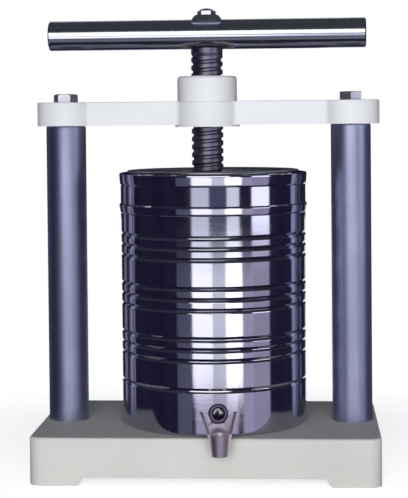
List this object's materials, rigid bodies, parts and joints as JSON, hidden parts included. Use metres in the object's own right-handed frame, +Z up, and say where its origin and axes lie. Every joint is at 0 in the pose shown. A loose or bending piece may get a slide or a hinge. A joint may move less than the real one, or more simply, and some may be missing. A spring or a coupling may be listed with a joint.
{
  "type": "tincture press",
  "caption": "Bench screw press with a cross handle, two pillars, a press plate in a perforated cage and a grooved steel vessel with a drain spout.",
  "frame": {"origin": "on the table, below the axis of the press screw", "axes": "+Z up along the screw, +X to the right from pillar to pillar, the spout at the front (-Y)"},
  "size_m": [0.276, 0.1845, 0.3686],
  "materials": {
    "cream_paint": "satin cream paint on a casting",
    "white_paint": "satin white paint on a casting",
    "polished_steel": "polished bar",
    "vessel_stainless": "polished stainless sheet",
    "spout_stainless": "satin stainless sheet",
    "brushed_stainless": "brushed stainless",
    "dark_steel": "oiled dark steel",
    "bolt_steel": "bright zinc plate",
    "bronze": "turned bronze"
  },
  "bodies": {
    "frame": {"base_casting": "cream_paint", "left_pillar": "polished_steel", "right_pillar": "polished_steel", "crosshead_casting": "white_paint", "screw_nut": "bronze", "nut_grub_screw": "dark_steel", "pillar_top_bolts": "bolt_steel", "pillar_foot_bolts": "bolt_steel", "pillar_foot_washers": "bolt_steel"},
    "ram": {"press_plate": "brushed_stainless", "screw_socket": "brushed_stainless", "keeper_back": "brushed_stainless", "keeper_front": "brushed_stainless", "thrust_washer": "bronze", "plate_screws": "bolt_steel", "keeper_screws": "bolt_steel"},
    "screw": {"press_screw": "dark_steel", "handle_bar": "polished_steel", "handle_saddle_washer": "bolt_steel", "handle_cap_nut": "bolt_steel"},
    "vessel": {"outer_vessel": "vessel_stainless", "vessel_spout": "spout_stainless", "cage_shell": "brushed_stainless", "cage_floor": "brushed_stainless", "cage_foot_ring": "brushed_stainless"}
  },
  "joints": [
    {"name": "plate_travel", "type": "slide", "parent": "frame", "child": "ram", "axis": [0, 0, 1], "range_m": [-0.0191, 0.1715]},
    {"name": "screw_turn", "type": "hinge", "parent": "ram", "child": "screw", "pos_m": [0, 0, 0.3], "axis": [0, 0, 1], "range_deg": [-1080, 9720]},
    {"name": "vessel_turn", "type": "hinge", "parent": "frame", "child": "vessel", "pos_m": [0, 0, 0.037], "axis": [0, 0, 1], "range_deg": [-37, 21]}
  ],
  "couplings": [
    {"joint": "plate_travel", "follows": "screw_turn", "m_per_rad": 0.0010106}
  ]
}
